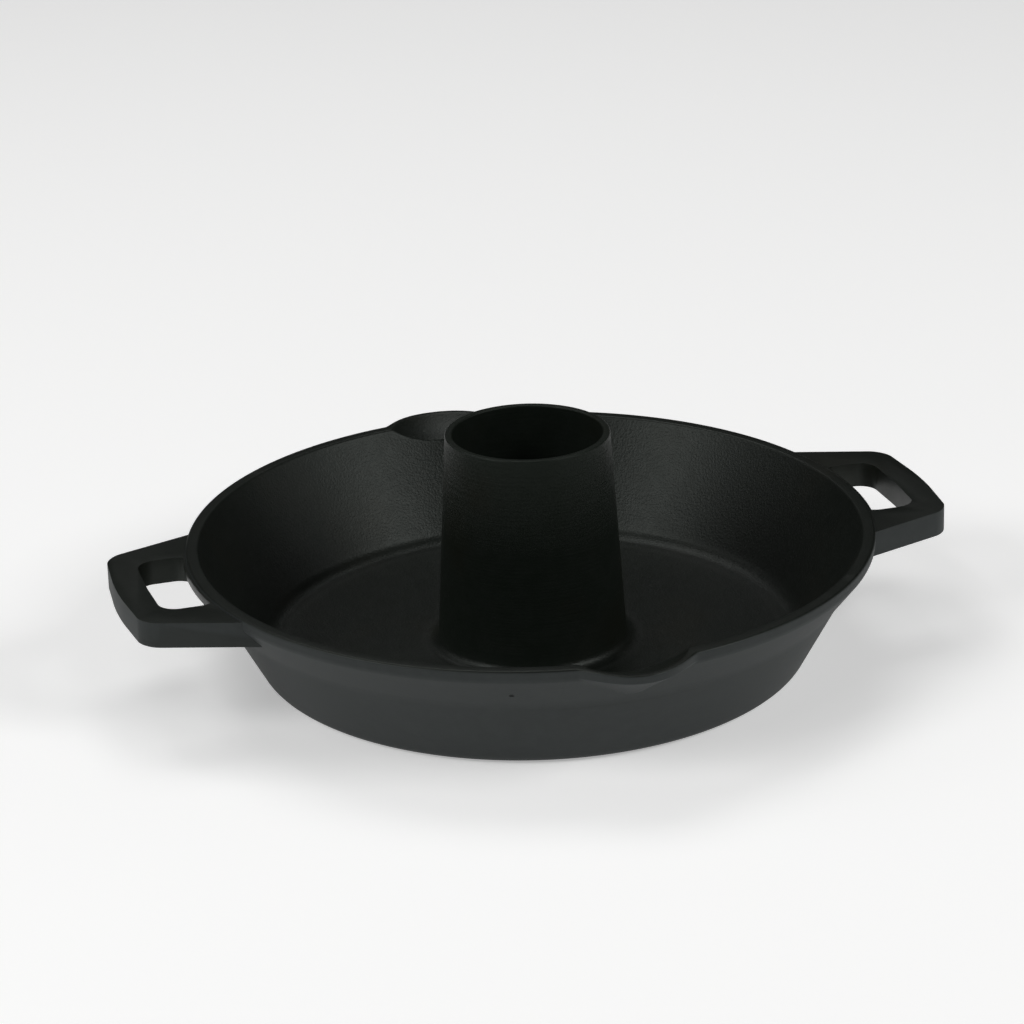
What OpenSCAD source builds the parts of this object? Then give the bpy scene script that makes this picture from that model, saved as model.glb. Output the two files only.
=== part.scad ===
// Round cast-iron poultry roaster pan.
// A flared pan carries a hollow, tapered post in its centre, two flat loop
// handles and two pouring spouts. The real thing is one iron casting. Each
// working feature of that casting is a solid of its own here, and the solids
// meet face to face.
// Origin: centre of the underside. +Z is up, the handles lie along X and
// the spouts along Y.

/* [Pan] */
// Diameter of the rim
rim_d = 260; // [250:1:270]
// Height of the rim above the table
pan_h = 48; // [44:1:52]
// Diameter of the underside, measured to the sharp corner
base_d = 206; // [200:1:210]
// Thickness of the floor
floor_t = 5; // [4:0.5:6]
// Thickness of the flared wall, measured level
wall_t = 3.6; // [3.2:0.1:4.4]
// Radius of the rounded corner under the pan
base_corner_r = 6.5; // [5:0.5:8]
// Radius of the fillet between floor and wall
floor_fillet_r = 7; // [5:0.5:8]

/* [Rim] */
// Width of the flat top of the rim
rim_w = 4.8; // [4.4:0.1:5.2]
// Height above the table where the wall starts to flare out to the rim
flare_z = 30; // [27:1:32]
// Height of the upright edge of the rim
rim_edge_h = 4; // [3:0.5:5]

/* [Pouring spouts] */
// How far each lip reaches past the rim
spout_reach = 9.8; // [9:0.1:10.5]
// Plan radius of the rounded lip
spout_r = 21; // [20:0.5:22]
// Height of the upright edge of the lip
lip_h = 3.5; // [3:0.5:4]
// Width of the top edge at the tip of the lip
lip_w = 2.4; // [2:0.1:3]
// Depth of the scooped channel below the rim
scoop_depth = 6.8; // [6.4:0.1:7.2]
// Radius of the ball that shapes the scooped channel
scoop_r = 38; // [36:1:40]

/* [Loop handles] */
// How far each handle reaches past the rim
handle_reach = 29.5; // [26:0.5:32]
// Width of a handle where it meets the rim
handle_root_w = 84; // [80:1:88]
// Width of a handle at its outer corners
handle_tip_w = 65.5; // [60:0.5:68]
// Thickness of a handle
handle_t = 9.6; // [8:0.2:10]
// Step from the rim down to the top of a handle
handle_drop = 1; // [0.8:0.1:2]
// Radius of the outer corners in plan
handle_corner_r = 10; // [8:0.5:11]
// Length of the finger slot
slot_len = 48.2; // [46:0.2:50]
// Width of the finger slot
slot_w = 16.8; // [15:0.2:17.4]
// Radius of the corners of the finger slot
slot_corner_r = 7; // [5:0.5:7.5]
// How far the slot's inner side leans in towards the wall at its foot
slot_undercut = 3.6; // [3:0.2:4]

/* [Roasting post] */
// Height of the post above the table
post_h = 88; // [80:1:100]
// Diameter of the post at its top
post_top_d = 62; // [60:1:64]
// Diameter of the post at the floor of the pan
post_foot_d = 72; // [70:1:74]
// Thickness of the post's wall, measured level
post_wall = 2.8; // [2.6:0.1:4]
// Radius of the fillet round the foot of the post
post_fillet_r = 4; // [3:0.5:5]
// Radius of the fillet inside the foot of the hollow post
cup_fillet_r = 4; // [3:0.5:5]

/* [Hidden] */
$fn = 96;

iron = "#262825";
eps = 0.01;
arc_steps = 8;

// Extra length that carries a cut right through a surface
over = 1;

rim_r = rim_d / 2;
base_r = base_d / 2;
// Outward lean of the wall for each millimetre of height
lean = (rim_r - rim_w + wall_t - base_r) / pan_h;
wall_tilt = atan(lean);

// Roundings of the outside: start of the flare, foot and top of the rim's edge
flare_r = 25;
rim_foot_r = 3;
rim_top_r = 1;
post_edge_r = 0.6;

// Borders between neighbouring solids: two circles on the flat floor
hub_margin = 1;
plate_margin = 3;
hub_r = post_foot_d / 2 + post_fillet_r + hub_margin;
fillet_foot_r = base_r + lean * floor_t - wall_t
              - floor_fillet_r * tan((90 - wall_tilt) / 2);
plate_r = fillet_foot_r - plate_margin;
// Height of the border between the wall and the two halves of the rim
rim_h = 8;
rim_z = pan_h - rim_h;
rim_edge_z = pan_h - rim_edge_h;

// Spouts: the block that each one fills, and the round shapes that make it
spout_block_w = 52;
spout_block_h = 20;
spout_block_y = rim_r + spout_reach + over;
spout_centre = rim_r + spout_reach - spout_r;
cone_h = 11.5;
cone_r = 3;
scoop_rise = scoop_r - scoop_depth;
scoop_centre = rim_r + spout_reach - lip_w - sqrt(scoop_r * scoop_r - scoop_rise * scoop_rise);

handle_top_z = pan_h - handle_drop;
handle_tip_x = rim_r + handle_reach;
// Inside the wall, where the plan of a handle starts
handle_root_x = base_r + 8;
// The corners of the tip and of the slot stand back behind the bowed middle
tip_bow = 3;
slot_bow = 0.8;
slot_gap = 1;
bow_r = 120;

function outer_r(z) = base_r + lean * z;
function inner_r(z) = outer_r(z) - wall_t;
function unit(v) = v / norm(v);

// Points of the arc of radius r that rounds the corner b between a and c
function corner_arc(a, b, c, r) =
    let (
        u = unit(a - b),
        v = unit(c - b),
        half = acos(u * v) / 2,
        middle = b + unit(u + v) * r / sin(half),
        from = b + u * r / tan(half) - middle,
        to = b + v * r / tan(half) - middle,
        start = atan2(from[1], from[0]),
        turn = atan2(from[0] * to[1] - from[1] * to[0], from * to)
    )
    [for (i = [0:arc_steps])
        middle + r * [cos(start + turn * i / arc_steps), sin(start + turn * i / arc_steps)]];

// An outline with each corner rounded to its own radius, or sharp at 0
function rounded(points, radii) =
    let (n = len(points))
    [for (i = [0:n - 1])
        each radii[i] == 0
            ? [points[i]]
            : corner_arc(points[(i + n - 1) % n], points[i], points[(i + 1) % n], radii[i])];

// Outside of the pan as a filled section, from the axis to the wall
module outside_section() {
    polygon(rounded(
        [[0, 0], [base_r, 0], [outer_r(flare_z), flare_z], [rim_r, rim_edge_z],
         [rim_r, pan_h], [0, pan_h]],
        [0, base_corner_r, flare_r, rim_foot_r, rim_top_r, 0]));
}

// Inside of the pan as a filled section, open past the rim
module inside_section() {
    polygon(rounded(
        [[0, floor_t], [inner_r(floor_t), floor_t], [inner_r(pan_h + over), pan_h + over],
         [0, pan_h + over]],
        [0, floor_fillet_r, 0, 0]));
}

module pan_outside() {
    rotate_extrude() outside_section();
}

module pan_inside() {
    rotate_extrude() inside_section();
}

// The block of the shell that a spout takes the place of, at +Y
module spout_block() {
    translate([-spout_block_w / 2, base_r, pan_h - spout_block_h])
        cube([spout_block_w, spout_block_y - base_r, spout_block_h + over]);
}

module both_spout_blocks() {
    spout_block();
    mirror([0, 1, 0]) spout_block();
}

// The bulge under a lip: an upright edge above a cone that runs into the wall
module spout_bulge() {
    translate([0, spout_centre, pan_h - lip_h]) cylinder(h = lip_h, r = spout_r);
    translate([0, spout_centre, pan_h - lip_h - cone_h])
        cylinder(h = cone_h + eps, r1 = cone_r, r2 = spout_r);
}

module scoop() {
    translate([0, scoop_centre, pan_h + scoop_rise]) sphere(r = scoop_r);
}

// A spout at +Y
module pour_spout() {
    intersection() {
        difference() {
            union() {
                pan_outside();
                spout_bulge();
            }
            pan_inside();
            scoop();
        }
        spout_block();
    }
}

// Plan of a handle at +X, from inside the wall out to the tip
module handle_outline() {
    taper = (handle_root_w - handle_tip_w) / 2 / (handle_reach - tip_bow);
    corner_x = handle_tip_x - tip_bow;
    root_y = handle_root_w / 2 + taper * (rim_r - handle_root_x);
    tip_y = handle_tip_w / 2;
    polygon(rounded(
        [[handle_root_x, -root_y], [corner_x, -tip_y], [handle_tip_x, 0],
         [corner_x, tip_y], [handle_root_x, root_y]],
        [0, handle_corner_r, bow_r, handle_corner_r, 0]));
}

// Plan of the finger slot at +X, at its foot. Its inner side follows the rim.
module slot_outline() {
    half = slot_len / 2;
    near_x = rim_r + slot_gap - slot_undercut;
    near_corner_x = sqrt(near_x * near_x - half * half);
    far_x = rim_r + slot_gap + slot_w;
    polygon(rounded(
        [[near_corner_x, -half], [far_x - slot_bow, -half], [far_x, 0],
         [far_x - slot_bow, half], [near_corner_x, half], [near_x, 0]],
        [slot_corner_r, slot_corner_r, bow_r, slot_corner_r, slot_corner_r, rim_r / 2]));
}

// What the slot leaves standing along the rim: a skin that follows the flare
module slot_inner_side() {
    rotate_extrude() translate([slot_gap, 0]) polygon(
        [[-slot_gap, flare_z], [outer_r(flare_z), flare_z], [rim_r, rim_edge_z],
         [rim_r, pan_h + over], [-slot_gap, pan_h + over]]);
}

// A loop handle at +X
module loop_handle() {
    foot_z = handle_top_z - handle_t;
    difference() {
        translate([0, 0, foot_z]) linear_extrude(handle_t) handle_outline();
        difference() {
            translate([0, 0, foot_z - over]) linear_extrude(handle_t + 2 * over)
                slot_outline();
            slot_inner_side();
        }
        pan_outside();
    }
}

// Hollow tapered post on its own round of floor
module centre_post() {
    foot_r = post_foot_d / 2;
    top_r = post_top_d / 2;
    color(iron) rotate_extrude() polygon(rounded(
        [[0, 0], [hub_r, 0], [hub_r, floor_t], [foot_r, floor_t], [top_r, post_h],
         [top_r - post_wall, post_h], [foot_r - post_wall, floor_t], [0, floor_t]],
        [0, 0, 0, post_fillet_r, post_edge_r, post_edge_r, cup_fillet_r, 0]));
}

// Flat ring of floor round the post
module pan_floor() {
    color(iron) difference() {
        cylinder(h = floor_t, r = plate_r);
        translate([0, 0, -over]) cylinder(h = floor_t + 2 * over, r = hub_r);
    }
}

// Flared wall with the rounded corner under it and the fillet inside it
module pan_wall() {
    color(iron) difference() {
        intersection() {
            pan_outside();
            cylinder(h = rim_z, r = rim_r);
        }
        pan_inside();
        translate([0, 0, -over]) cylinder(h = pan_h, r = plate_r);
        both_spout_blocks();
    }
}

// Half of the thickened ring that ends in the flat rim, at +X
module half_rim() {
    difference() {
        intersection() {
            pan_outside();
            translate([0, -rim_r - over, rim_z]) cube([rim_r + over, rim_d + 2 * over, rim_h]);
        }
        pan_inside();
        both_spout_blocks();
    }
}

module rim_left() {
    color(iron) mirror([1, 0, 0]) half_rim();
}

module rim_right() {
    color(iron) half_rim();
}

module pour_spout_front() {
    color(iron) mirror([0, 1, 0]) pour_spout();
}

module pour_spout_back() {
    color(iron) pour_spout();
}

module handle_left() {
    color(iron) mirror([1, 0, 0]) loop_handle();
}

module handle_right() {
    color(iron) loop_handle();
}

centre_post();
pan_floor();
pan_wall();
rim_left();
rim_right();
pour_spout_front();
pour_spout_back();
handle_left();
handle_right();
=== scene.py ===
import math

import bpy
from mathutils import Matrix, Vector


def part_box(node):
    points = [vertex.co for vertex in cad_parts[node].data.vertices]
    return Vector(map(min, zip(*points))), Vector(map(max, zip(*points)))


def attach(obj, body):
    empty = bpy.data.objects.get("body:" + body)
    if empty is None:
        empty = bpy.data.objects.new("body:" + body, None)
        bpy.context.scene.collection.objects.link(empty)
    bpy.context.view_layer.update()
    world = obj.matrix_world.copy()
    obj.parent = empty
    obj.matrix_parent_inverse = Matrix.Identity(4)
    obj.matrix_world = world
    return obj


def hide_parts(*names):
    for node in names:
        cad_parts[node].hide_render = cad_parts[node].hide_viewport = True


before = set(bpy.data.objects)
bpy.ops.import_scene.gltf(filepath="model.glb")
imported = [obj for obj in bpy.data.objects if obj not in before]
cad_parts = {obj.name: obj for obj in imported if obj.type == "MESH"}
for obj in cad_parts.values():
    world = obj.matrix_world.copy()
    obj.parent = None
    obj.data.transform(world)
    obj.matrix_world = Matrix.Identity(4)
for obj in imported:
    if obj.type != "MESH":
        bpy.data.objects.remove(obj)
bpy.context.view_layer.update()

bl_info = {
    "name": "Poultry Roaster Pan",
    "version": (1, 0, 0),
    "blender": (4, 5, 0),
    "location": "3D View > Sidebar > Roaster",
    "description": "Models a seasoned cast-iron poultry roaster pan around its packed CAD parts",
    "category": "Object",
}

MM = 0.001
WELD = 1e-6
SOFT_EDGE = math.radians(40)
BOW_R = 120 * MM
SPOUT_REACH = math.radians(14)
DIP_SPREAD = math.radians(6)


# ---------------------------------------------------------------- sizes from the frame

def low(node, axis):
    """Lowest coordinate of a CAD node along one axis."""
    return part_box(node)[0][axis]


def high(node, axis):
    """Highest coordinate of a CAD node along one axis."""
    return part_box(node)[1][axis]


RIM_TOP = high("rim_right", 2)
BAND_Z = low("rim_right", 2)
RIM_R = round(high("rim_right", 0), 4)
FLOOR_T = high("pan_floor", 2)
PLATE_R = high("pan_floor", 0)
HUB_R = high("centre_post", 0)
POST_TOP = high("centre_post", 2)
BLOCK_HALF = high("pour_spout_back", 0)
BLOCK_Z = low("pour_spout_back", 2)
LIP_Y = high("pour_spout_back", 1)
HANDLE_TOP = high("handle_right", 2)
HANDLE_LOW = low("handle_right", 2)
HANDLE_T = HANDLE_TOP - HANDLE_LOW


def length(name, description, default):
    """A length in metres, shown in the user's own units."""
    return bpy.props.FloatProperty(
        name=name, description=description, default=default, min=0, unit="LENGTH",
        subtype="DISTANCE", precision=4)


def colour(name, description, default):
    return bpy.props.FloatVectorProperty(
        name=name, description=description, default=default, min=0, max=1, size=3,
        subtype="COLOR")


def power(name, description, default):
    return bpy.props.FloatProperty(
        name=name, description=description, default=default, min=0, unit="POWER")


class PanSizes(bpy.types.PropertyGroup):
    base_r: length("Base radius", "Radius of the underside at its sharp corner", 103 * MM)
    wall_t: length("Wall thickness", "Thickness of the flared wall, level", 3.6 * MM)
    rim_w: length("Rim width", "Width of the flat top of the rim", 4.8 * MM)
    flare_z: length("Flare height", "Where the wall starts to flare to the rim", 30 * MM)
    rim_edge_h: length("Rim edge", "Height of the upright edge of the rim", 4 * MM)
    flare_r: length("Flare rounding", "Radius where the flare starts", 25 * MM)
    edge_foot_r: length("Edge foot", "Radius under the rim's upright edge", 3 * MM)
    base_corner_r: length("Base corner", "Radius of the corner under the pan", 6.5 * MM)
    floor_fillet_r: length("Floor fillet", "Radius between floor and wall", 7 * MM)
    rim_outer_r: length("Outer rim edge", "Rounding of the rim's outer edge", 1.1 * MM)
    rim_inner_r: length("Inner rim edge", "Rounding of the rim's inner edge", 1.1 * MM)


class SpoutSizes(bpy.types.PropertyGroup):
    lip_r: length("Lip radius", "Plan radius of the rounded lip", 21 * MM)
    lip_h: length("Lip height", "Height of the lip's upright edge", 3.5 * MM)
    lip_w: length("Lip width", "Width of the top edge at the tip", 2.4 * MM)
    cone_h: length("Cone height", "Height of the cone under the lip", 11.5 * MM)
    cone_r: length("Cone radius", "Radius at the bottom of the cone", 3 * MM)
    scoop_r: length("Scoop radius", "Radius of the ball that forms the channel", 38 * MM)
    scoop_depth: length("Scoop depth", "Depth of the channel below the rim", 6.8 * MM)
    corner_blend: length("Corner blend", "Softness of the corner beside the lip", 9.5 * MM)
    scoop_blend: length("Scoop blend", "Softness of the crease round the channel", 1 * MM)
    dip: length("Dip", "How far the tip of the lip dips below the rim", 0.8 * MM)


class HandleSizes(bpy.types.PropertyGroup):
    reach: length("Reach", "How far the handle reaches past the rim", 29.5 * MM)
    root_in: length("Root depth", "How far out from the base the plate starts", 8 * MM)
    root_w: length("Root width", "Width where the handle meets the rim", 84 * MM)
    tip_w: length("Tip width", "Width at the outer corners", 65.5 * MM)
    tip_bow: length("Tip bow", "How far the tip's middle stands past its corners", 3 * MM)
    corner_r: length("Corner radius", "Radius of the outer corners in plan", 10 * MM)
    slot_len: length("Slot length", "Length of the finger slot", 48.2 * MM)
    slot_w: length("Slot width", "Width of the finger slot", 16.8 * MM)
    slot_gap: length("Slot gap", "Gap between the rim and the finger slot", 1 * MM)
    slot_undercut: length("Undercut", "How far the slot's inner side leans in", 3.6 * MM)
    slot_bow: length("Slot bow", "Bow of the slot's outer side", 0.8 * MM)
    slot_corner_r: length("Slot corners", "Radius of the slot's corners", 7 * MM)
    edge_r: length("Edge rounding", "Rounding along the handle's edges", 0.9 * MM)


class PostSizes(bpy.types.PropertyGroup):
    top_r: length("Top radius", "Radius of the post at its top", 31 * MM)
    foot_r: length("Foot radius", "Radius of the post at the floor", 36 * MM)
    wall_t: length("Wall thickness", "Thickness of the post's wall, level", 2.8 * MM)
    fillet_r: length("Foot fillet", "Radius round the foot of the post", 4 * MM)
    cup_fillet_r: length("Cup fillet", "Radius inside the foot of the post", 4 * MM)
    edge_r: length("Edge rounding", "Rounding of the post's top edges", 0.6 * MM)


class IronLook(bpy.types.PropertyGroup):
    dark: colour("Dark seasoning", "Thick, dark seasoning", (0.0044, 0.0060, 0.0044))
    light: colour("Thin seasoning", "Thinner, greyer seasoning", (0.0080, 0.0100, 0.0082))
    brown: colour("Brown seasoning", "Seasoning baked brown in places", (0.0125, 0.0115, 0.0075))
    # Painted light: the outer tones are lifted far above the dark seasoning to stand for the
    # white floor reflected in the pan's sides.
    painted_light_outer_dark: colour("Outer skin", "Matte skin outside, lightened by painted reflection", (0.0310, 0.0345, 0.0345))
    painted_light_outer_pale: colour("Pale outer skin", "Paler matte skin outside, lightened by painted reflection", (0.0410, 0.0450, 0.0450))
    # Pale edge colour: partly wear of the seasoning, partly a painted highlight along the
    # rounded edges.
    wear_and_highlight: colour("Edge wear and painted highlight", "Seasoning worn thin along edges", (0.0225, 0.0245, 0.0225))
    roughness: bpy.props.FloatProperty(
        name="Roughness", description="Mean roughness of the seasoning", default=0.42,
        min=0, max=1, subtype="FACTOR")
    gloss: bpy.props.FloatProperty(
        name="Gloss", description="Strength of the seasoning's reflections", default=0.3,
        min=0, max=1, subtype="FACTOR")
    sheen: colour("Sheen", "Tint of the seasoning's reflections", (0.93, 1.0, 0.94))
    pebble: length("Pebble size", "Size of the sand-cast pebbles inside", 0.9 * MM)


class StageLook(bpy.types.PropertyGroup):
    floor: colour("Floor colour", "Colour of the pale floor", (0.93, 0.93, 0.925))
    glow: bpy.props.FloatProperty(
        name="Floor glow", description="Light the white floor gives off by itself",
        default=0.36, min=0)
    left_power: power("Left light", "Power of the soft light on the left", 10)
    right_power: power("Right light", "Power of the soft light on the right", 11)
    low_power: power("Low light", "Power of the low light on the far right", 1.5)
    front_power: power("Front light", "Power of the steep light in front", 2)
    top_power: power("Top light", "Power of the light above, to the back", 7)
    back_power: power("Back light", "Power of the light behind on the left", 2)


# ---------------------------------------------------------------- modelling by hand

def clear_selection():
    if bpy.context.object and bpy.context.object.mode != "OBJECT":
        bpy.ops.object.mode_set(mode="OBJECT")
    bpy.ops.object.select_all(action="DESELECT")


def take(obj):
    """Make obj the only selected object, and the active one."""
    clear_selection()
    obj.select_set(True)
    bpy.context.view_layer.objects.active = obj


def edit(obj):
    take(obj)
    bpy.ops.object.mode_set(mode="EDIT")
    bpy.ops.mesh.select_mode(type="VERT")
    bpy.ops.mesh.select_all(action="DESELECT")


def leave_edit():
    bpy.ops.object.mode_set(mode="OBJECT")


def outline(name, corners):
    """A flat face with the given corners, made from a circle of that many points."""
    clear_selection()
    bpy.ops.mesh.primitive_circle_add(vertices=len(corners), fill_type="NGON")
    obj = bpy.context.object
    obj.name = obj.data.name = name
    for vertex, place in zip(obj.data.vertices, corners):
        vertex.co = place
    return obj


def select_points(obj, wanted):
    """Select the vertices whose place passes the test. obj is left in edit mode."""
    edit(obj)
    leave_edit()
    for vertex in obj.data.vertices:
        vertex.select = wanted(vertex.co)
    bpy.ops.object.mode_set(mode="EDIT")


def round_corner(obj, before, corner, after, radius, steps):
    """Round one corner of an outline with an arc of the given radius."""
    corner = Vector(corner)
    half = (Vector(before) - corner).angle(Vector(after) - corner) / 2
    select_points(obj, lambda co: (co - corner).length < WELD)
    bpy.ops.mesh.bevel(
        offset_type="OFFSET", offset=radius / math.tan(half), segments=steps,
        affect="VERTICES", profile=0.5)
    leave_edit()


def round_outline(obj, corners, radii, steps):
    """Round every corner of an outline that has a radius."""
    for i, radius in enumerate(radii):
        if radius:
            after = corners[(i + 1) % len(corners)]
            round_corner(obj, corners[i - 1], corners[i], after, radius, steps)


def cut_edge(obj, start, end, cuts):
    """Subdivide the one edge of an outline that lies along the line from start to end."""
    start, end = Vector(start), Vector(end)
    along = (end - start).normalized()

    def on_line(co):
        offset = co - start
        reach = offset.dot(along)
        aside = (offset - along * reach).length
        return aside < 2 * WELD and -WELD < reach < (end - start).length + WELD

    select_points(obj, on_line)
    bpy.ops.mesh.subdivide(number_cuts=cuts)
    leave_edit()


def turn_on_lathe(obj, sweeps):
    """Spin an outline about Z through (degrees, steps) sweeps, and close the mesh."""
    edit(obj)
    bpy.ops.mesh.select_all(action="SELECT")
    bpy.ops.mesh.delete(type="ONLY_FACE")
    bpy.ops.mesh.select_all(action="SELECT")
    for degrees, steps in sweeps:
        bpy.ops.mesh.spin(
            steps=steps, angle=math.radians(degrees), center=(0, 0, 0), axis=(0, 0, 1))
    bpy.ops.mesh.select_all(action="SELECT")
    bpy.ops.mesh.remove_doubles(threshold=WELD)
    bpy.ops.mesh.select_all(action="SELECT")
    bpy.ops.mesh.normals_make_consistent(inside=False)
    leave_edit()


def keep_below(obj, point, normal):
    """Cut obj with a plane, drop what lies on the normal's side and close the cut."""
    edit(obj)
    bpy.ops.mesh.select_all(action="SELECT")
    bpy.ops.mesh.bisect(plane_co=point, plane_no=normal, use_fill=True, clear_outer=True)
    leave_edit()


def thicken_down(obj, depth):
    """Pull a flat outline down into a plate, with its faces outward."""
    edit(obj)
    bpy.ops.mesh.select_all(action="SELECT")
    bpy.ops.mesh.extrude_region_move(TRANSFORM_OT_translate={"value": (0, 0, -depth)})
    bpy.ops.mesh.select_all(action="SELECT")
    bpy.ops.mesh.normals_make_consistent(inside=False)
    leave_edit()


def cut_away(obj, tool):
    """Subtract tool from obj, and remove the tool."""
    take(obj)
    cut = obj.modifiers.new("cut", "BOOLEAN")
    cut.operation = "DIFFERENCE"
    cut.solver = "EXACT"
    cut.object = tool
    bpy.ops.object.modifier_apply(modifier=cut.name)
    bpy.data.objects.remove(tool)


def soften_edges(obj, radius, steps):
    take(obj)
    bevel = obj.modifiers.new("soft edges", "BEVEL")
    bevel.width = radius
    bevel.segments = steps
    bevel.limit_method = "ANGLE"
    bevel.angle_limit = SOFT_EDGE
    bpy.ops.object.modifier_apply(modifier=bevel.name)


def copy_of(obj, name):
    """A copy with its own mesh."""
    clear_selection()
    twin = obj.copy()
    twin.data = obj.data.copy()
    twin.name = twin.data.name = name
    bpy.context.collection.objects.link(twin)
    return twin


def mirror_copy(obj, name, axis):
    """A mirror image across the origin, with its faces outward again."""
    twin = copy_of(obj, name)
    take(twin)
    scale = [1, 1, 1]
    scale[axis] = -1
    twin.scale = scale
    bpy.ops.object.transform_apply(location=True, rotation=True, scale=True)
    edit(twin)
    bpy.ops.mesh.select_all(action="SELECT")
    bpy.ops.mesh.normals_make_consistent(inside=False)
    leave_edit()
    return twin


def finish_piece(obj, name, node, materials, skin):
    """Name, smooth and dress a piece, and let it stand for its CAD node.

    skin tells the number of the material that a face takes.
    """
    obj.name = obj.data.name = name
    take(obj)
    bpy.ops.object.shade_smooth_by_angle(angle=SOFT_EDGE)
    obj.data.materials.clear()
    for material in materials:
        obj.data.materials.append(material)
    for face in obj.data.polygons:
        face.material_index = int(skin(face.center, face.normal))
    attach(obj, "root")
    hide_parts(node)


# ---------------------------------------------------------------- the cast shell

def wall_lean(sizes):
    """Outward lean of the wall for each metre of height."""
    return (RIM_R - sizes.rim_w + sizes.wall_t - sizes.base_r) / RIM_TOP


def outer_line(sizes, z):
    """Radius of the outside of the pan at height z, before its edges are rounded."""
    edge_z = RIM_TOP - sizes.rim_edge_h
    start = sizes.base_r + wall_lean(sizes) * sizes.flare_z
    if z <= sizes.flare_z:
        return sizes.base_r + wall_lean(sizes) * z
    share = min((z - sizes.flare_z) / (edge_z - sizes.flare_z), 1)
    return start + share * (RIM_R - start)


def inner_line(sizes, z):
    """Radius of the inside of the pan at height z, before its edges are rounded."""
    return sizes.base_r + wall_lean(sizes) * z - sizes.wall_t


def smooth_max(a, b, blend):
    overlap = max(blend - abs(a - b), 0) / blend
    return max(a, b) + overlap * overlap * blend / 4


def circle_reach(centre, radius, turn):
    """How far out a ray at an angle to the circle's centre line meets the circle."""
    inside = radius * radius - (centre * math.sin(turn)) ** 2
    return centre * math.cos(turn) + math.sqrt(inside) if inside > 0 else 0


def bulge_reach(spout, z, turn):
    """Radius of the outside of a spout at height z."""
    depth = RIM_TOP - spout.lip_h - z
    if depth > spout.cone_h:
        return 0
    slope = (spout.lip_r - spout.cone_r) / spout.cone_h
    radius = spout.lip_r - slope * max(depth, 0)
    return circle_reach(LIP_Y - spout.lip_r, radius, turn)


def scoop_reach(spout, z, turn):
    """Radius of the channel's surface at height z."""
    rise = spout.scoop_r - spout.scoop_depth
    at_rim = math.sqrt(spout.scoop_r ** 2 - rise ** 2)
    level = spout.scoop_r ** 2 - (rise + RIM_TOP - z) ** 2
    if level <= 0:
        return 0
    return circle_reach(LIP_Y - spout.lip_w - at_rim, math.sqrt(level), turn)


def push_out_spout(obj, sizes, spout):
    """Move the points beside the Y axis out into a pouring spout."""
    for vertex in obj.data.vertices:
        x, y, z = vertex.co
        turn = math.atan2(x, abs(y))
        if z < BLOCK_Z or abs(turn) > SPOUT_REACH:
            continue
        radius = math.hypot(x, y)
        inner, outer = inner_line(sizes, z), outer_line(sizes, z)
        share = (radius - inner) / (outer - inner)
        fade = (z - BLOCK_Z) / (RIM_TOP - BLOCK_Z)
        blend = spout.corner_blend * (0.15 + 0.85 * fade)
        new_outer = smooth_max(outer, bulge_reach(spout, z, turn), blend)
        new_inner = smooth_max(inner, scoop_reach(spout, z, turn), spout.scoop_blend)
        new = new_inner + share * (new_outer - new_inner)
        near = math.exp(-(turn / DIP_SPREAD) ** 2)
        height = max((z - BAND_Z) / (RIM_TOP - BAND_Z), 0)
        vertex.co = (x * new / radius, y * new / radius, z - spout.dip * near * height ** 2)


def shell_blank(name, sizes, spout):
    """The whole cast shell from the floor's edge to the rim, with both spouts.

    A quarter is turned on the lathe, one spout's half is pushed out of it, and the
    quarter is mirrored both ways.
    """
    fine_z = BLOCK_Z + 2 * MM
    edge_z = RIM_TOP - sizes.rim_edge_h
    corners = [
        (PLATE_R, 0, 0),
        (sizes.base_r, 0, 0),
        (outer_line(sizes, sizes.flare_z), 0, sizes.flare_z),
        (RIM_R, 0, edge_z),
        (RIM_R, 0, RIM_TOP),
        (inner_line(sizes, RIM_TOP), 0, RIM_TOP),
        (inner_line(sizes, fine_z), 0, fine_z),
        (inner_line(sizes, FLOOR_T), 0, FLOOR_T),
        (PLATE_R, 0, FLOOR_T),
    ]
    radii = [0, sizes.base_corner_r, sizes.flare_r, sizes.edge_foot_r, sizes.rim_outer_r,
             sizes.rim_inner_r, 0, sizes.floor_fillet_r, 0]
    obj = outline(name, corners)
    round_outline(obj, corners, radii, steps=8)
    cut_edge(obj, corners[1], corners[2], 10)
    cut_edge(obj, corners[2], corners[3], 18)
    cut_edge(obj, corners[3], corners[4], 3)
    cut_edge(obj, corners[5], corners[6], 36)
    cut_edge(obj, corners[6], corners[7], 10)
    plain_part = 90 - round(math.degrees(SPOUT_REACH))
    turn_on_lathe(obj, [(plain_part, 76), (90 - plain_part, 42)])
    push_out_spout(obj, sizes, spout)
    double_up(obj)
    return obj


def double_up(obj):
    """Mirror a quarter of a ring into the whole ring."""
    take(obj)
    mirror = obj.modifiers.new("mirror", "MIRROR")
    mirror.use_axis = (True, True, False)
    mirror.merge_threshold = 2 * WELD
    bpy.ops.object.modifier_apply(modifier=mirror.name)
    edit(obj)
    bpy.ops.mesh.select_all(action="SELECT")
    bpy.ops.mesh.remove_doubles(threshold=WELD)
    bpy.ops.mesh.select_all(action="SELECT")
    bpy.ops.mesh.normals_make_consistent(inside=False)
    leave_edit()


def spout_block(name, side):
    """The block that a spout fills in the shell. side is 1 at the back, -1 in front."""
    clear_selection()
    reach = LIP_Y - HUB_R + 5 * MM
    tall = RIM_TOP - BLOCK_Z + 5 * MM
    bpy.ops.mesh.primitive_cube_add(
        size=1, location=(0, side * (HUB_R + reach / 2), BLOCK_Z + tall / 2),
        scale=(2 * BLOCK_HALF, reach, tall))
    obj = bpy.context.object
    obj.name = obj.data.name = name
    bpy.ops.object.transform_apply(location=True, rotation=True, scale=True)
    return obj


def shell_skins():
    return [iron("smooth_iron"), iron("outer_iron_painted_light"), iron("sand_cast_iron")]


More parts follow.
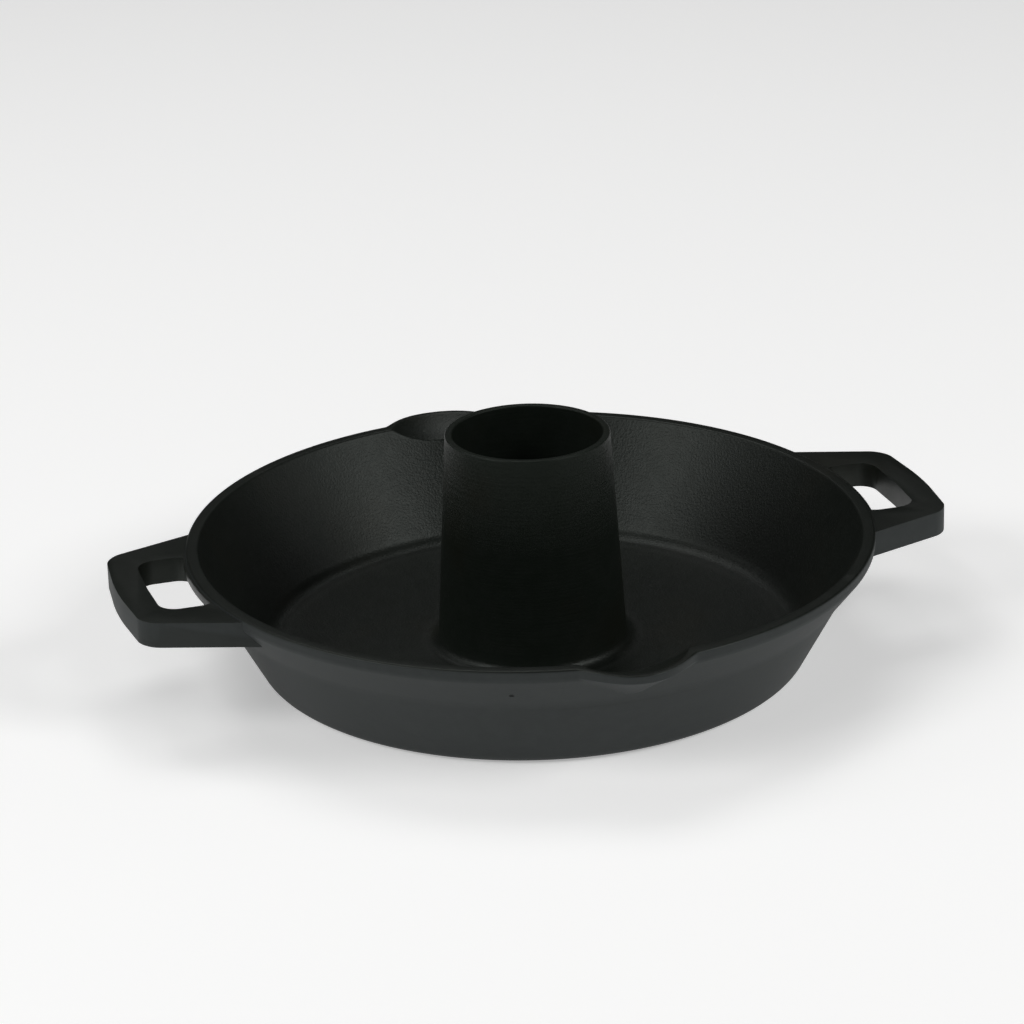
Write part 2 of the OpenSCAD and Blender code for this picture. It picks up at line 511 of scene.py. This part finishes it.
def shell_skin_painted_light(centre, normal):
    """The sand-cast skin inside, the smooth skin on faces turned up, and the outer skin, whose
    paler tones are painted light, on faces turned outward or down.
    """
    outward = normal.x * centre.x + normal.y * centre.y
    if outward < 0 and centre.z < RIM_TOP - 0.3 * MM:
        return 2
    if normal.z > 0.7 and centre.z < RIM_TOP - 2 * MM:
        return 2
    # Faces not turned up take the outer skin: painted light on the sides.
    return int(normal.z < 0.5)


def loop_skin_painted_light_and_shade(centre, normal):
    """The smooth dark skin on top and in the finger slot, where its darkness stands as painted
    shade, and the outer skin, whose paler tones are painted light, round the sides and below.
    """
    middle = math.copysign(RIM_R + 10 * MM, centre.x)
    outward = normal.x * (centre.x - middle) + normal.y * centre.y
    # Slot walls keep the dark skin as painted shade; outer sides and underside take the
    # painted-light outer skin.
    return int(normal.z < 0.5 and (outward > 0 or normal.z < -0.5))


# ---------------------------------------------------------------- materials

# How many grains of each pattern lie along a metre.
PATCH_SCALE = 26
BLOTCH_SCALE = 170
SPECK_SCALE = 2200
TURNING_SCALE = (45, 45, 1100)
SMOOTH_PEBBLE = 2.4 * MM
SMOOTH_DEPTH = 0.03 * MM


def node_at(tree, kind, place, **inputs):
    node = tree.nodes.new(kind)
    node.location = place
    for key, value in inputs.items():
        node.inputs[key.replace("_", " ")].default_value = value
    return node


def noise(tree, vector, scale, detail, place, rough=0.5):
    node = node_at(tree, "ShaderNodeTexNoise", place, Scale=scale, Detail=detail,
                   Roughness=rough)
    tree.links.new(vector, node.inputs["Vector"])
    return node.outputs["Fac"]


def ramp(tree, value, start, end, low_value, high_value, place):
    """Map a value from start..end to low_value..high_value, smoothly."""
    node = node_at(tree, "ShaderNodeMapRange", place)
    node.interpolation_type = "SMOOTHSTEP"
    for key, number in zip(("From Min", "From Max", "To Min", "To Max"),
                           (start, end, low_value, high_value)):
        node.inputs[key].default_value = number
    tree.links.new(value, node.inputs["Value"])
    return node.outputs["Result"]


def mix(tree, factor, a, b, place):
    """Mix two colours, each a tuple or a socket."""
    node = tree.nodes.new("ShaderNodeMix")
    node.data_type = "RGBA"
    node.location = place
    tree.links.new(factor, node.inputs["Factor"])
    for key, value in (("A", a), ("B", b)):
        socket = [s for s in node.inputs if s.name == key and s.type == "RGBA"][0]
        if isinstance(value, tuple):
            socket.default_value = (*value, 1)
        else:
            tree.links.new(value, socket)
    return [s for s in node.outputs if s.type == "RGBA"][0]


def bump(tree, height, distance, strength, place, under=None):
    node = node_at(tree, "ShaderNodeBump", place, Distance=distance, Strength=strength)
    tree.links.new(height, node.inputs["Height"])
    if under:
        tree.links.new(under, node.inputs["Normal"])
    return node.outputs["Normal"]


def iron_material(name, look, pebble, pebble_depth, tones=None, brown=0.45, gloss=1,
                  matte=0, grain=None, pit=None):
    """Baked-oil seasoning over cast iron.

    pebble is the size of the cast skin's pebbles and pebble_depth their height. tones is
    the dark and the light colour, and brown the most of the brown stain. gloss is a factor
    on the sheen, and matte is added to the roughness. grain is the height of fine level
    turning lines, and pit is the place of one casting pit.
    """
    dark, light = tones or (tuple(look.dark), tuple(look.light))
    material = bpy.data.materials.new(name)
    material.use_nodes = True
    tree = material.node_tree
    tree.nodes.clear()
    out = node_at(tree, "ShaderNodeOutputMaterial", (900, 0))
    shader = node_at(tree, "ShaderNodeBsdfPrincipled", (600, 0))
    shader.inputs["Specular IOR Level"].default_value = look.gloss * gloss
    shader.inputs["Specular Tint"].default_value = (*look.sheen, 1)
    tree.links.new(shader.outputs["BSDF"], out.inputs["Surface"])
    place = node_at(tree, "ShaderNodeTexCoord", (-1400, 0)).outputs["Object"]

    patches = noise(tree, place, PATCH_SCALE, 2, (-1100, 400))
    blotches = noise(tree, place, BLOTCH_SCALE, 4, (-1100, 200), rough=0.6)
    pebbles = noise(tree, place, 1 / pebble, 2, (-1100, -100), rough=0.55)
    specks = noise(tree, place, SPECK_SCALE, 2, (-1100, -300))

    thin = ramp(tree, blotches, 0.3, 0.75, 0.25, 0.75, (-850, 400))
    body = mix(tree, thin, dark, light, (-600, 400))
    stain = ramp(tree, patches, 0.5, 0.8, 0, brown, (-850, 250))
    body = mix(tree, stain, body, tuple(look.brown), (-400, 350))
    grit = ramp(tree, specks, 0.55, 0.8, 0, 0.5, (-850, 100))
    body = mix(tree, grit, body, light, (-300, 350))
    # Edges are lightened by pointiness: partly wear, partly a painted highlight on the rims and
    # the post's top edge.
    edges = node_at(tree, "ShaderNodeNewGeometry", (-1100, 650)).outputs["Pointiness"]
    wear_and_highlight = ramp(tree, edges, 0.53, 0.62, 0, 0.5, (-850, 650))
    body = mix(tree, wear_and_highlight, body, tuple(look.wear_and_highlight), (-200, 350))

    rough = look.roughness + matte
    rough = ramp(tree, blotches, 0.3, 0.7, rough - 0.01, rough + 0.02, (-850, 0))
    tree.links.new(rough, shader.inputs["Roughness"])

    normal = bump(tree, pebbles, pebble_depth, 1, (-100, -200))
    normal = bump(tree, specks, 0.03 * MM, 0.6, (100, -300), normal)
    if grain:
        stretch = node_at(tree, "ShaderNodeMapping", (-1300, -500))
        stretch.inputs["Scale"].default_value = TURNING_SCALE
        tree.links.new(place, stretch.inputs["Vector"])
        lines = noise(tree, stretch.outputs["Vector"], 1, 3, (-1100, -500), rough=0.6)
        normal = bump(tree, lines, grain, 1, (250, -400), normal)
    if pit:
        apart = node_at(tree, "ShaderNodeVectorMath", (-1100, -750))
        apart.operation = "DISTANCE"
        tree.links.new(place, apart.inputs[0])
        apart.inputs[1].default_value = pit
        # The pit's mask: a shallow dent by bump, and near-black colour as painted shade in the
        # pit.
        hollow = ramp(tree, apart.outputs["Value"], 0.4 * MM, 1.1 * MM, 0, 1, (-850, -750))
        normal = bump(tree, hollow, 0.7 * MM, 1, (400, -500), normal)
        # Painted shade: the pit is darkened near black.
        body = mix(tree, hollow, (0.0005, 0.0005, 0.0005), body, (100, 350))
    tree.links.new(body, shader.inputs["Base Color"])
    tree.links.new(normal, shader.inputs["Normal"])
    return material


def casting_pit():
    """Place of the one small pit in the front of the wall."""
    turn = math.radians(-110.2)
    z = RIM_TOP - 11.6 * MM
    radius = outer_line(bpy.context.scene.roaster_pan, z)
    return (radius * math.cos(turn), radius * math.sin(turn), z)


def iron(kind):
    """The named iron skin, made the first time it is asked for."""
    made = bpy.data.materials.get(kind)
    if made:
        return made
    look = bpy.context.scene.roaster_iron
    if kind == "smooth_iron":
        return iron_material(kind, look, SMOOTH_PEBBLE, SMOOTH_DEPTH)
    # The outer skin is a lit copy of the seasoning: its paler tones are painted reflection; it
    # also has more roughness, less gloss and the casting pit.
    if kind == "outer_iron_painted_light":
        tones = (tuple(look.painted_light_outer_dark), tuple(look.painted_light_outer_pale))
        return iron_material(kind, look, SMOOTH_PEBBLE, SMOOTH_DEPTH, tones, brown=0.04,
                             gloss=0.5, matte=0.16, pit=casting_pit())
    if kind == "sand_cast_iron":
        return iron_material(kind, look, look.pebble, 0.15 * MM)
    if kind == "turned_iron":
        tones = (tuple(2 * c for c in look.dark), tuple(1.6 * c for c in look.light))
        return iron_material(kind, look, look.pebble, 0.10 * MM, tones, brown=0.6,
                             gloss=0.5, grain=0.11 * MM)
    raise ValueError(kind)


def plain_floor_material(look):
    material = bpy.data.materials.new("pale_floor")
    material.use_nodes = True
    shader = material.node_tree.nodes["Principled BSDF"]
    shader.inputs["Base Color"].default_value = (*look.floor, 1)
    shader.inputs["Roughness"].default_value = 0.9
    shader.inputs["Specular IOR Level"].default_value = 0
    shader.inputs["Emission Color"].default_value = (1, 1, 1, 1)
    shader.inputs["Emission Strength"].default_value = look.glow
    return material


# ---------------------------------------------------------------- operators

class ROASTER_OT_floor(bpy.types.Operator):
    """Cast the flat ring of floor round the post"""
    bl_idname = "roaster.make_floor"
    bl_label = "Pan floor"

    def execute(self, context):
        corners = [(HUB_R, 0, 0), (PLATE_R, 0, 0), (PLATE_R, 0, FLOOR_T), (HUB_R, 0, FLOOR_T)]
        ring = outline("floor", corners)
        cut_edge(ring, corners[0], corners[1], 12)
        cut_edge(ring, corners[2], corners[3], 12)
        turn_on_lathe(ring, [(360, 240)])
        skins = shell_skins()
        # Faces turned up take the sand-cast skin; the edge and underside take the outer skin,
        # whose paler tones are painted light.
        finish_piece(ring, "floor_plate", "pan_floor", skins,
                     lambda centre, normal: 1 + int(normal.z > 0.5))
        return {"FINISHED"}


class ROASTER_OT_wall(bpy.types.Operator):
    """Cast the flared wall, without the rim and the spouts"""
    bl_idname = "roaster.make_wall"
    bl_label = "Pan wall"

    def execute(self, context):
        scene = context.scene
        wall = shell_blank("wall", scene.roaster_pan, scene.roaster_spout)
        keep_below(wall, (0, 0, BAND_Z), (0, 0, 1))
        for side in (1, -1):
            cut_away(wall, spout_block("block", side))
        skins = shell_skins()
        finish_piece(wall, "flared_wall", "pan_wall", skins, shell_skin_painted_light)
        return {"FINISHED"}


class ROASTER_OT_rims(bpy.types.Operator):
    """Cast the two halves of the rim band"""
    bl_idname = "roaster.make_rims"
    bl_label = "Rim band"

    def execute(self, context):
        scene = context.scene
        rim = shell_blank("rim", scene.roaster_pan, scene.roaster_spout)
        keep_below(rim, (0, 0, BAND_Z), (0, 0, -1))
        keep_below(rim, (BLOCK_HALF, 0, 0), (-1, 0, 0))
        skins = shell_skins()
        twin = mirror_copy(rim, "rim twin", 0)
        finish_piece(rim, "rim_half_right", "rim_right", skins, shell_skin_painted_light)
        finish_piece(twin, "rim_half_left", "rim_left", skins, shell_skin_painted_light)
        return {"FINISHED"}


class ROASTER_OT_spouts(bpy.types.Operator):
    """Cast the two pouring spouts"""
    bl_idname = "roaster.make_spouts"
    bl_label = "Pouring spouts"

    def execute(self, context):
        scene = context.scene
        spout = shell_blank("spout", scene.roaster_pan, scene.roaster_spout)
        keep_below(spout, (0, 0, BLOCK_Z), (0, 0, -1))
        keep_below(spout, (0, HUB_R, 0), (0, -1, 0))
        keep_below(spout, (BLOCK_HALF, 0, 0), (1, 0, 0))
        keep_below(spout, (-BLOCK_HALF, 0, 0), (-1, 0, 0))
        skins = shell_skins()
        twin = mirror_copy(spout, "spout twin", 1)
        finish_piece(spout, "spout_lip_back", "pour_spout_back", skins, shell_skin_painted_light)
        finish_piece(twin, "spout_lip_front", "pour_spout_front", skins, shell_skin_painted_light)
        return {"FINISHED"}


class ROASTER_OT_handles(bpy.types.Operator):
    """Cast the two loop handles with their finger slots"""
    bl_idname = "roaster.make_handles"
    bl_label = "Loop handles"
    overlap = 0.5 * MM

    def plate(self, pan, sizes):
        """The solid plate, from inside the wall out to the bowed tip."""
        root_x = pan.base_r + sizes.root_in
        corner_x = RIM_R + sizes.reach - sizes.tip_bow
        taper = (sizes.root_w - sizes.tip_w) / 2 / (sizes.reach - sizes.tip_bow)
        root_y = sizes.root_w / 2 + taper * (RIM_R - root_x)
        tip_y = sizes.tip_w / 2
        top = HANDLE_TOP
        corners = [(root_x, -root_y, top), (corner_x, -tip_y, top),
                   (RIM_R + sizes.reach, 0, top), (corner_x, tip_y, top),
                   (root_x, root_y, top)]
        plate = outline("handle", corners)
        round_outline(plate, corners, [0, sizes.corner_r, BOW_R, sizes.corner_r, 0], 14)
        thicken_down(plate, HANDLE_T)
        return plate

    def slot(self, pan, sizes):
        """The finger slot as a solid, with its inner side leaning along the flare."""
        half = sizes.slot_len / 2
        near_x = RIM_R + sizes.slot_gap - sizes.slot_undercut
        near_corner_x = math.sqrt(near_x ** 2 - half ** 2)
        far_x = RIM_R + sizes.slot_gap + sizes.slot_w
        above = HANDLE_TOP + 2 * MM
        corners = [(near_corner_x, -half, above), (far_x - sizes.slot_bow, -half, above),
                   (far_x, 0, above), (far_x - sizes.slot_bow, half, above),
                   (near_corner_x, half, above), (near_x, 0, above)]
        slot = outline("slot", corners)
        r = sizes.slot_corner_r
        round_outline(slot, corners, [r, r, BOW_R, r, r, RIM_R / 2], 12)
        thicken_down(slot, HANDLE_T + 4 * MM)
        cut_away(slot, self.pan_plug(pan, sizes.slot_gap))
        return slot

    def pan_plug(self, pan, offset):
        """A solid as wide as the outside of the pan, plus an offset."""
        low_z = HANDLE_LOW - 5 * MM
        high_z = RIM_TOP + 5 * MM
        edge_z = RIM_TOP - pan.rim_edge_h
        corners = [(0, 0, low_z), (outer_line(pan, low_z) + offset, 0, low_z),
                   (RIM_R + offset, 0, edge_z), (RIM_R + offset, 0, high_z), (0, 0, high_z)]
        plug = outline("plug", corners)
        turn_on_lathe(plug, [(360, 360)])
        return plug

    def execute(self, context):
        pan = context.scene.roaster_pan
        sizes = context.scene.roaster_handle
        handle = self.plate(pan, sizes)
        cut_away(handle, self.slot(pan, sizes))
        soften_edges(handle, sizes.edge_r, 4)
        cut_away(handle, self.pan_plug(pan, -self.overlap))
        skins = [iron("smooth_iron"), iron("outer_iron_painted_light")]
        twin = mirror_copy(handle, "handle twin", 0)
        finish_piece(handle, "loop_right", "handle_right", skins, loop_skin_painted_light_and_shade)
        finish_piece(twin, "loop_left", "handle_left", skins, loop_skin_painted_light_and_shade)
        return {"FINISHED"}


class ROASTER_OT_post(bpy.types.Operator):
    """Cast the hollow roasting post on its round of floor"""
    bl_idname = "roaster.make_post"
    bl_label = "Roasting post"

    def execute(self, context):
        sizes = context.scene.roaster_post
        foot_in, top_in = sizes.foot_r - sizes.wall_t, sizes.top_r - sizes.wall_t
        corners = [
            (0, 0, 0),
            (HUB_R, 0, 0),
            (HUB_R, 0, FLOOR_T),
            (sizes.foot_r, 0, FLOOR_T),
            (sizes.top_r, 0, POST_TOP),
            (top_in, 0, POST_TOP),
            (foot_in, 0, FLOOR_T),
            (0, 0, FLOOR_T),
        ]
        radii = [0, 0, 0, sizes.fillet_r - 0.1 * MM, sizes.edge_r, sizes.edge_r,
                 sizes.cup_fillet_r, 0]
        post = outline("post", corners)
        round_outline(post, corners, radii, steps=7)
        cut_edge(post, corners[3], corners[4], 40)
        cut_edge(post, corners[5], corners[6], 30)
        cut_edge(post, corners[7], corners[6], 6)
        turn_on_lathe(post, [(360, 256)])
        finish_piece(
            post, "roasting_post", "centre_post", [iron("turned_iron"), iron("sand_cast_iron")],
            lambda centre, normal: normal.z > 0.3 and centre.z < FLOOR_T + sizes.fillet_r)
        return {"FINISHED"}


class ROASTER_OT_stage(bpy.types.Operator):
    """Set the pale floor, the soft lights and the camera"""
    bl_idname = "roaster.make_stage"
    bl_label = "Stage"

    def area_light(self, name, turn, rise, watts, distance=1.9, size=(0.8, 0.6)):
        """A soft panel aimed at the pan, turn degrees round it and rise degrees up."""
        data = bpy.data.lights.new(name, "AREA")
        data.shape = "RECTANGLE"
        data.size, data.size_y = size
        data.energy = watts
        turn = math.radians(turn)
        rise = math.radians(rise)
        aim = Vector((0, 0, 30 * MM))
        lamp = bpy.data.objects.new(name, data)
        lamp.location = distance * Vector((
            math.cos(turn) * math.cos(rise), math.sin(turn) * math.cos(rise), math.sin(rise)))
        lamp.rotation_euler = (aim - lamp.location).to_track_quat("-Z", "Y").to_euler()
        bpy.context.collection.objects.link(lamp)

    def execute(self, context):
        look = context.scene.roaster_stage
        clear_selection()
        bpy.ops.mesh.primitive_plane_add(size=12, location=(0, 0, 0))
        floor = bpy.context.object
        floor.name = "floor"
        floor.data.materials.append(plain_floor_material(look))

        world = bpy.data.worlds.new("studio")
        context.scene.world = world
        world.use_nodes = True
        background = world.node_tree.nodes["Background"]
        background.inputs["Color"].default_value = (1, 1, 1, 1)
        background.inputs["Strength"].default_value = 0.02

        self.area_light("left light", -165, 36, look.left_power)
        self.area_light("right light", -43, 36, look.right_power)
        self.area_light("low light", -8, 18, look.low_power)
        self.area_light("front light", -135, 56, look.front_power)
        self.area_light("top light", 90, 61, look.top_power, 1.85, (1.2, 0.8))
        self.area_light("back light", 150, 34, look.back_power)

        data = bpy.data.cameras.new("camera")
        data.lens = 139.3
        camera = bpy.data.objects.new("camera", data)
        context.collection.objects.link(camera)
        azimuth = math.radians(-16.2)
        elevation = math.radians(21.87)
        roll = math.radians(-1.7)
        distance = 1.499
        aim = Vector((-4.8, 7.1, 53.7)) * MM
        back = Vector((math.sin(azimuth) * math.cos(elevation),
                       -math.cos(azimuth) * math.cos(elevation), math.sin(elevation)))
        camera.location = aim + back * distance
        turn = back.to_track_quat("Z", "Y").to_matrix().to_4x4()
        camera.rotation_euler = (turn @ Matrix.Rotation(roll, 4, "Z")).to_euler()
        context.scene.camera = camera
        context.scene.view_settings.view_transform = "Standard"
        return {"FINISHED"}


class ROASTER_PT_panel(bpy.types.Panel):
    """Lists the steps that make the pan"""
    bl_idname = "ROASTER_PT_panel"
    bl_label = "Roaster pan"
    bl_space_type = "VIEW_3D"
    bl_region_type = "UI"
    bl_category = "Roaster"

    def draw(self, context):
        for step in STEPS:
            self.layout.operator(step.bl_idname)


STEPS = (
    ROASTER_OT_stage,
    ROASTER_OT_floor,
    ROASTER_OT_wall,
    ROASTER_OT_rims,
    ROASTER_OT_spouts,
    ROASTER_OT_handles,
    ROASTER_OT_post,
)
GROUPS = {
    "roaster_pan": PanSizes,
    "roaster_spout": SpoutSizes,
    "roaster_handle": HandleSizes,
    "roaster_post": PostSizes,
    "roaster_iron": IronLook,
    "roaster_stage": StageLook,
}


def register():
    for name, group in GROUPS.items():
        bpy.utils.register_class(group)
        setattr(bpy.types.Scene, name, bpy.props.PointerProperty(type=group))
    for operator in STEPS:
        bpy.utils.register_class(operator)
    bpy.utils.register_class(ROASTER_PT_panel)


def unregister():
    bpy.utils.unregister_class(ROASTER_PT_panel)
    for operator in reversed(STEPS):
        bpy.utils.unregister_class(operator)
    for name, group in GROUPS.items():
        delattr(bpy.types.Scene, name)
        bpy.utils.unregister_class(group)


def main():
    register()
    bpy.ops.roaster.make_stage()
    bpy.ops.roaster.make_floor()
    bpy.ops.roaster.make_wall()
    bpy.ops.roaster.make_rims()
    bpy.ops.roaster.make_spouts()
    bpy.ops.roaster.make_handles()
    bpy.ops.roaster.make_post()


if __name__ == "__main__":
    main()
